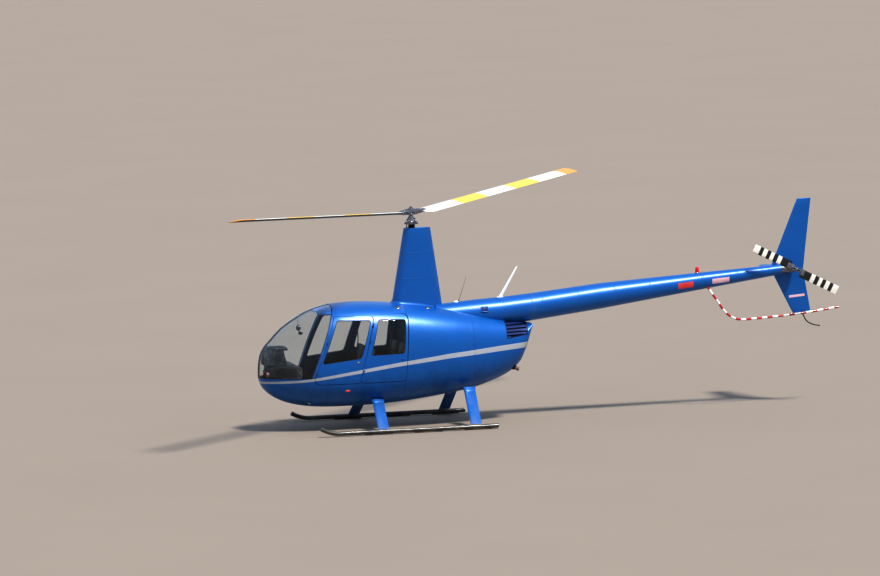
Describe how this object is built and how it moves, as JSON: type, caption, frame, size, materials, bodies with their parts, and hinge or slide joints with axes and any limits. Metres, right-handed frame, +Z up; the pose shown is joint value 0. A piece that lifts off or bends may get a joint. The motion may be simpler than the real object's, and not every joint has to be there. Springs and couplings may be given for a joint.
{
  "type": "light four-seat helicopter on skids",
  "caption": "Small piston helicopter with rounded glazed cabin, hinged doors, tall mast fairing, teetering main rotor, slim tailcone and skid landing gear.",
  "frame": {"origin": "on the ground under the middle of the object's box", "axes": "+X towards the nose, +Y to port, +Z up"},
  "size_m": [10.1577, 7.548, 3.518],
  "materials": {
    "paint_blue": "gloss",
    "glass_clear": "gloss",
    "cabin_trim": "matte",
    "seat_cover": "satin",
    "louvre_dark": "satin",
    "skid_black": "satin",
    "engine_grey": "matte",
    "exhaust_steel": "matte",
    "rotor_metal": "satin",
    "blade_paint": "satin",
    "guard_stripes": "gloss",
    "lamp_red": "gloss",
    "antenna_white": "gloss",
    "whip_black": "satin"
  },
  "bodies": {
    "airframe": {"lower_hull": "paint_blue", "roof_panel": "paint_blue", "aft_hull": "paint_blue", "windshield_bow": "paint_blue", "mast_fairing": "paint_blue", "tailcone_fairing": "paint_blue", "tailcone": "paint_blue", "upper_fin": "paint_blue", "lower_fin": "paint_blue", "horizontal_stabilizer": "paint_blue", "cabin_frame_left": "paint_blue", "cabin_frame_right": "paint_blue", "engine_cowl_left": "paint_blue", "engine_cowl_right": "paint_blue", "front_leg_left": "paint_blue", "front_leg_right": "paint_blue", "rear_leg_left": "paint_blue", "rear_leg_right": "paint_blue", "windshield_left": "glass_clear", "windshield_right": "glass_clear", "cabin_floor": "cabin_trim", "firewall": "cabin_trim", "instrument_console": "cabin_trim", "cyclic_stick": "cabin_trim", "front_seat_left": "seat_cover", "front_seat_right": "seat_cover", "rear_seat_left": "seat_cover", "rear_seat_right": "seat_cover", "louvre_left": "louvre_dark", "louvre_right": "louvre_dark", "skid_left": "skid_black", "skid_right": "skid_black", "tail_skid": "skid_black", "engine_block": "engine_grey", "exhaust_pipe": "exhaust_steel", "swashplate": "rotor_metal", "tail_gearbox": "rotor_metal", "tail_guard": "guard_stripes", "beacon": "lamp_red", "comm_antenna": "antenna_white", "whip_antenna": "whip_black"},
    "main_rotor": {"rotor_shaft": "rotor_metal", "rotor_hub": "rotor_metal", "rotor_blade_1": "blade_paint", "rotor_blade_2": "blade_paint"},
    "tail_rotor": {"tail_rotor_hub": "rotor_metal", "tail_rotor_blade_1": "blade_paint", "tail_rotor_blade_2": "blade_paint"},
    "front_door_left_leaf": {"front_door_left": "paint_blue", "front_door_window_left": "glass_clear"},
    "front_door_right_leaf": {"front_door_right": "paint_blue", "front_door_window_right": "glass_clear"},
    "rear_door_left_leaf": {"rear_door_left": "paint_blue", "rear_door_window_left": "glass_clear"},
    "rear_door_right_leaf": {"rear_door_right": "paint_blue", "rear_door_window_right": "glass_clear"}
  },
  "joints": [
    {"name": "main_rotor_spin", "type": "hinge", "parent": "airframe", "child": "main_rotor", "pos_m": [1.578, 0, 3], "axis": [0, 0, 1], "continuous": true},
    {"name": "tail_rotor_spin", "type": "hinge", "parent": "airframe", "child": "tail_rotor", "pos_m": [-4.312, 0.28, 2.088], "axis": [0, 1, 0], "continuous": true},
    {"name": "front_door_left_hinge", "type": "hinge", "parent": "airframe", "child": "front_door_left_leaf", "pos_m": [3.1091, 0.60934, 1.125], "axis": [0.3552, -0.0106, -0.9347], "range_deg": [0, 85]},
    {"name": "front_door_right_hinge", "type": "hinge", "parent": "airframe", "child": "front_door_right_leaf", "pos_m": [3.1091, -0.60934, 1.125], "axis": [-0.3552, -0.0106, 0.9347], "range_deg": [0, 85]},
    {"name": "rear_door_left_hinge", "type": "hinge", "parent": "airframe", "child": "rear_door_left_leaf", "pos_m": [2.44163, 0.64477, 1.125], "axis": [0.265, 0.03, -0.9638], "range_deg": [0, 85]},
    {"name": "rear_door_right_hinge", "type": "hinge", "parent": "airframe", "child": "rear_door_right_leaf", "pos_m": [2.44163, -0.64477, 1.125], "axis": [-0.265, 0.03, 0.9638], "range_deg": [0, 85]}
  ],
  "couplings": [
    {"joint": "tail_rotor_spin", "follows": "main_rotor_spin", "ratio": -5.9495}
  ]
}
